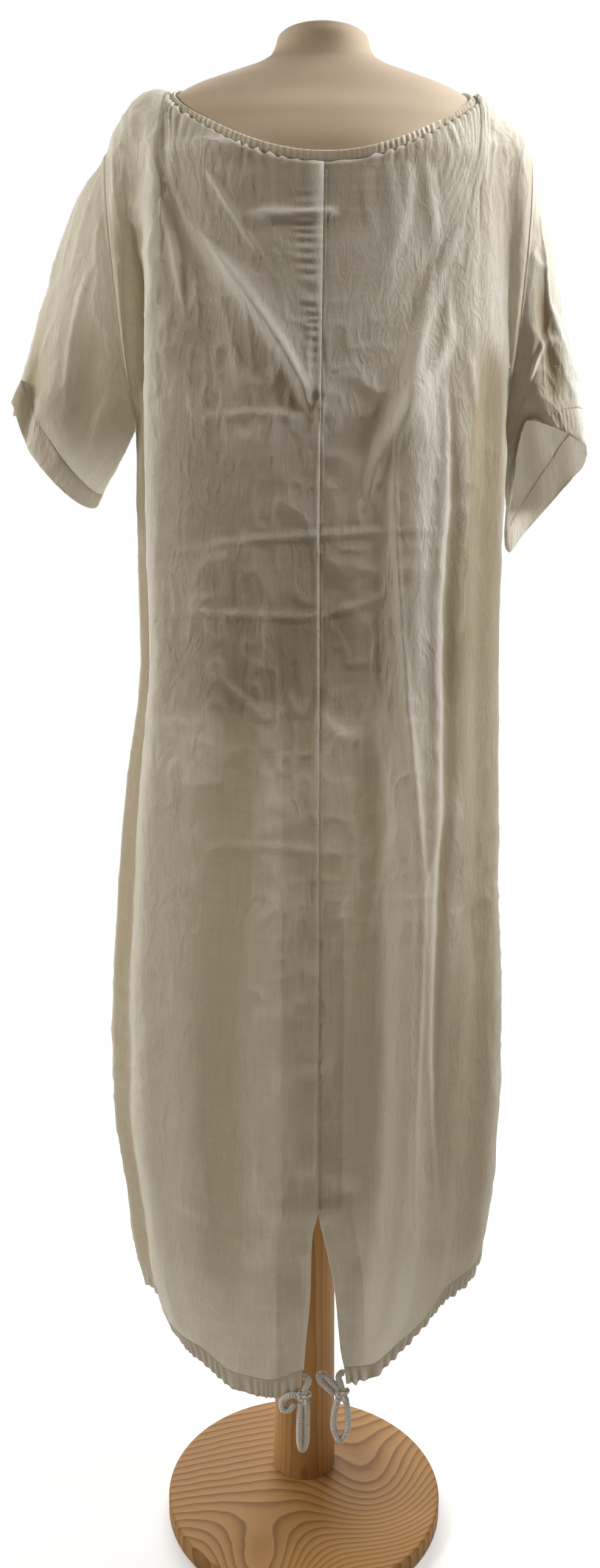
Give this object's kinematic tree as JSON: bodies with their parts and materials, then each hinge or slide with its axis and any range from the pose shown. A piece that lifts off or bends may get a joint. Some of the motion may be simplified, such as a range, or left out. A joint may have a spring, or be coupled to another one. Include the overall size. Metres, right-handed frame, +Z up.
{
  "type": "summer dress on dress form",
  "caption": "Loose linen summer dress with gathered scoop neck, short dropped sleeves, back vent and drawstring hem, worn by a limbless form on a round wooden foot.",
  "frame": {"origin": "on the floor under the axis of the pole, in the underside of the round foot", "axes": "+Z up along the pole; -Y is the back of the dress, with its centre seam and vent; +X is the wearer's right"},
  "size_m": [0.6195, 0.3548, 1.6465],
  "materials": {
    "linen": "crinkled, unbleached, half see-through",
    "jersey": "smooth, matte",
    "pine": "clear varnish, satin"
  },
  "bodies": {
    "root": {"back_left": "linen", "back_right": "linen", "front": "linen", "sleeve_left": "linen", "sleeve_right": "linen", "cuff_left": "linen", "cuff_right": "linen", "neck_band_back": "linen", "neck_band_front": "linen", "hem_back_left": "linen", "hem_back_right": "linen", "hem_front": "linen", "vent_facing_left": "linen", "vent_facing_right": "linen", "cord_lead_left": "linen", "cord_loop_left": "linen", "cord_tail_left": "linen", "knot_left": "linen", "cord_lead_right": "linen", "cord_loop_right": "linen", "cord_tail_right": "linen", "knot_right": "linen", "torso": "jersey", "pole": "pine", "base_disc": "pine"}
  },
  "joints": []
}
